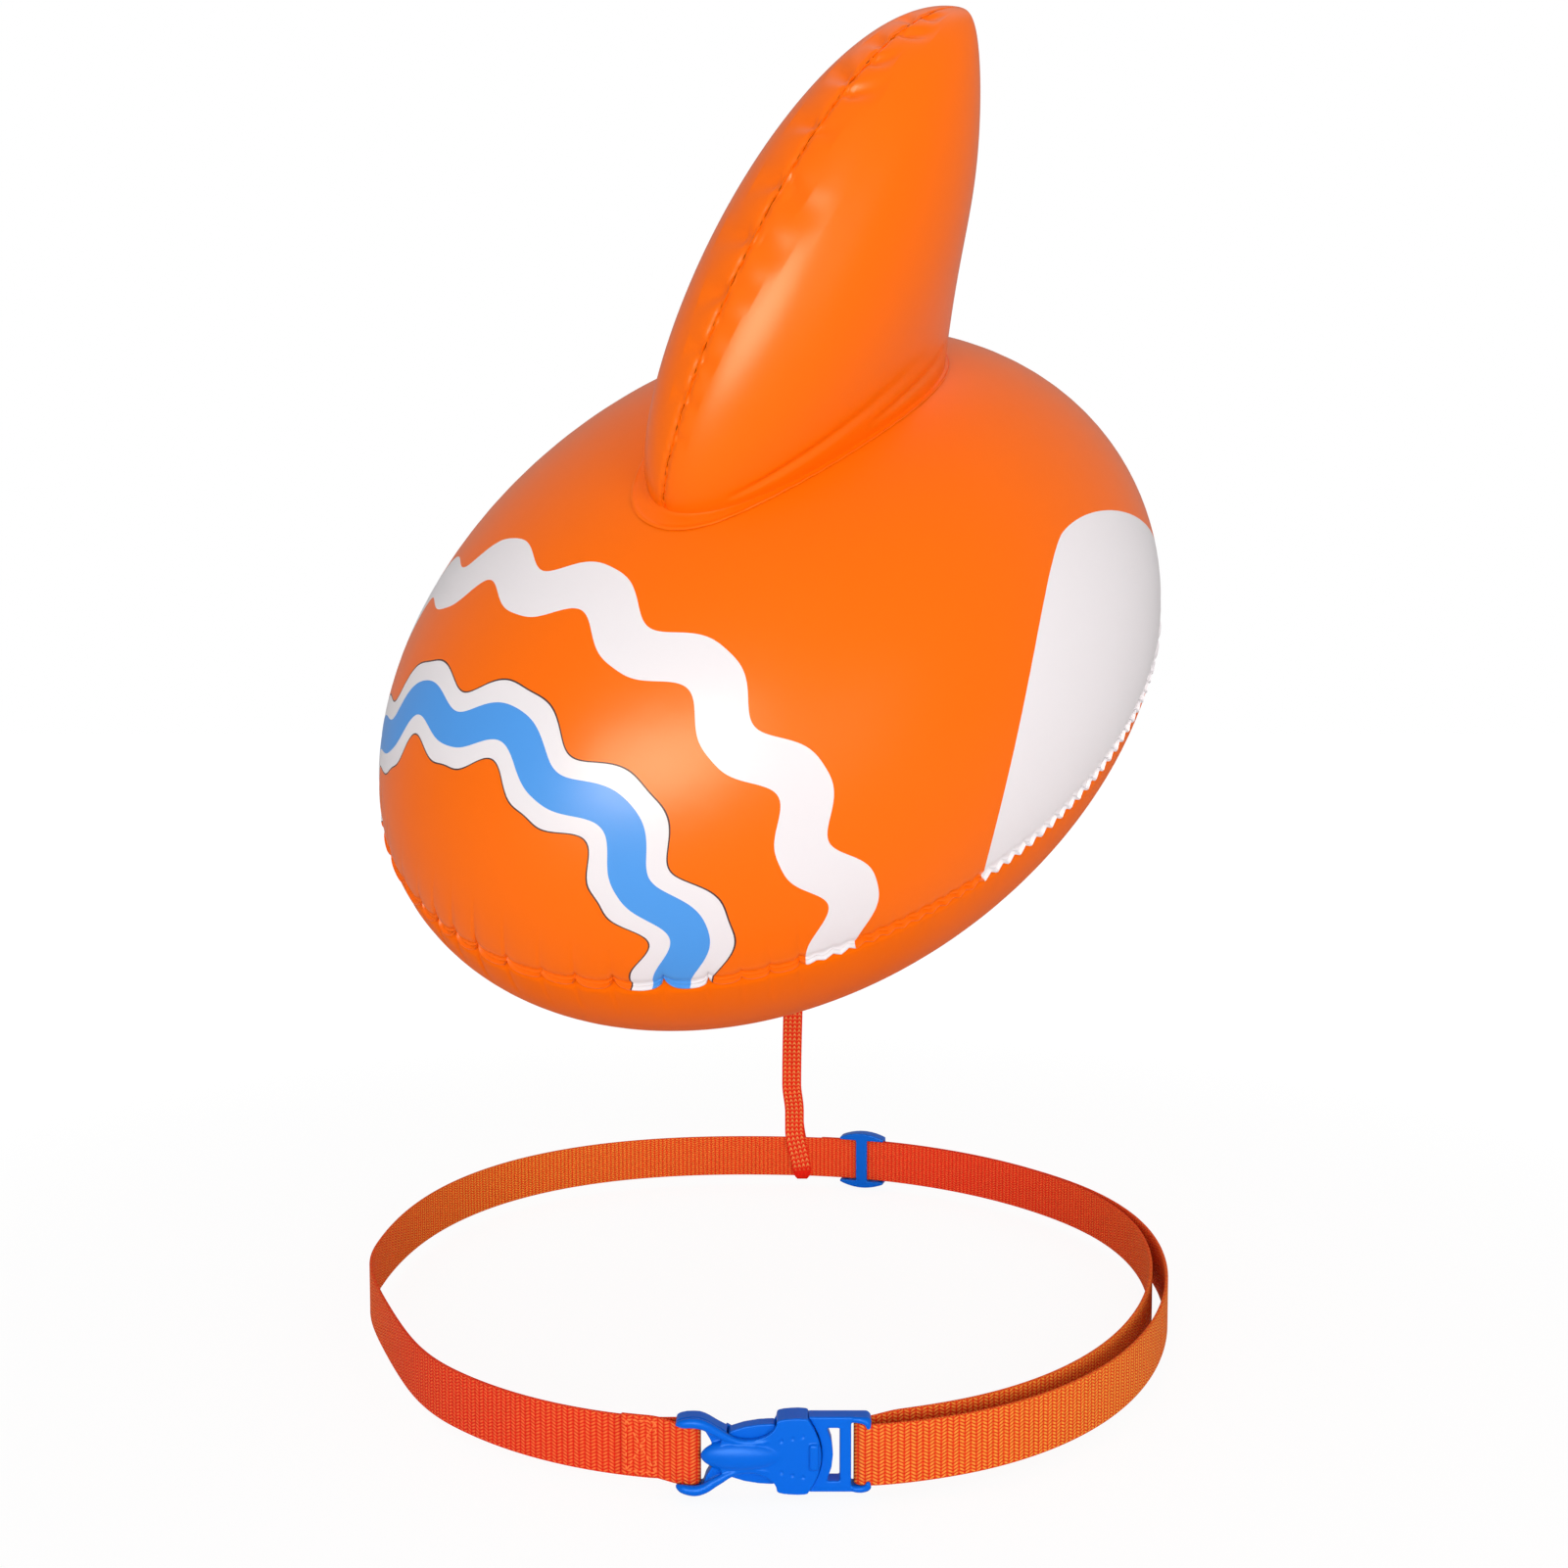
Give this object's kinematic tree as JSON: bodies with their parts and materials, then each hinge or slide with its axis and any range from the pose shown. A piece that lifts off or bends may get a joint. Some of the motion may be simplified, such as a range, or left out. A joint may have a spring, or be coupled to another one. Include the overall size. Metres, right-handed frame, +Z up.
{
  "type": "open water swim buoy",
  "caption": "Inflated oval swim float with a back fin, towed by a webbing leash from an adjustable waist belt with a side release buckle.",
  "frame": {"origin": "centre of the waist loop, at the middle of the webbing's width", "axes": "+Z up through the waist loop towards the float, -Y towards the buckle, +X along the belt from the socket half of the buckle to its clip half"},
  "size_m": [0.4213, 0.4342, 0.6242],
  "materials": {
    "orange_vinyl": "satin orange vinyl sheet",
    "orange_weld": "welded orange vinyl",
    "clear_vinyl": "milky soft vinyl",
    "orange_webbing": "woven polypropylene webbing",
    "blue_acetal": "moulded acetal, semi gloss"
  },
  "bodies": {
    "float_and_belt": {"upper_panel": "orange_vinyl", "lower_panel": "orange_vinyl", "fin_left_panel": "orange_vinyl", "fin_right_panel": "orange_vinyl", "fin_flange": "orange_weld", "anchor_patch": "orange_weld", "anchor_bridge": "orange_weld", "body_valve_base": "clear_vinyl", "fin_valve_base": "clear_vinyl", "leash_strap": "orange_webbing", "waist_strap": "orange_webbing", "strap_tail": "orange_webbing", "buckle_female": "blue_acetal"},
    "clip_half": {"buckle_male": "blue_acetal", "strap_front_loop": "orange_webbing"},
    "upper_latch": {"prong_upper": "blue_acetal"},
    "lower_latch": {"prong_lower": "blue_acetal"},
    "slider": {"tri_glide": "blue_acetal"},
    "body_plug": {"body_valve_plug": "clear_vinyl"},
    "fin_plug": {"fin_valve_plug": "clear_vinyl"},
    "body_flap": {"body_valve_flap": "clear_vinyl"},
    "fin_flap": {"fin_valve_flap": "clear_vinyl"}
  },
  "joints": [
    {"name": "buckle_slide", "type": "slide", "parent": "float_and_belt", "child": "clip_half", "axis": [1, 0, 0], "range_m": [0, 0.036], "deforming": ["strap_front_loop", "prong_upper", "prong_lower"]},
    {"name": "upper_latch_squeeze", "type": "hinge", "parent": "clip_half", "child": "upper_latch", "pos_m": [0.02109, -0.207, 0.00731], "axis": [0, -1, 0], "range_deg": [0, 9.5], "stiffness_Nm_per_rad": 2},
    {"name": "lower_latch_squeeze", "type": "hinge", "parent": "clip_half", "child": "lower_latch", "pos_m": [0.02109, -0.207, -0.00731], "axis": [0, 1, 0], "range_deg": [0, 9.5], "stiffness_Nm_per_rad": 2},
    {"name": "slider_travel", "type": "hinge", "parent": "float_and_belt", "child": "slider", "pos_m": [0, 0, 0], "axis": [0, 0, 1], "range_deg": [-25, 4]},
    {"name": "body_plug_pull", "type": "slide", "parent": "float_and_belt", "child": "body_plug", "axis": [-0.002, 0.9177, -0.3974], "range_m": [0, 0.008]},
    {"name": "fin_plug_pull", "type": "slide", "parent": "float_and_belt", "child": "fin_plug", "axis": [-0.6598, 0.6218, 0.4219], "range_m": [0, 0.008]},
    {"name": "body_flap_open", "type": "hinge", "parent": "float_and_belt", "child": "body_flap", "pos_m": [0.04189, 0.19743, 0.30007], "axis": [-0.9982, -0.0254, -0.0537], "range_deg": [0, 50], "stiffness_Nm_per_rad": 0.001},
    {"name": "fin_flap_open", "type": "hinge", "parent": "float_and_belt", "child": "fin_flap", "pos_m": [0.00991, -0.0499, 0.50946], "axis": [-0.7477, -0.4873, -0.4511], "range_deg": [0, 50], "stiffness_Nm_per_rad": 0.001}
  ]
}
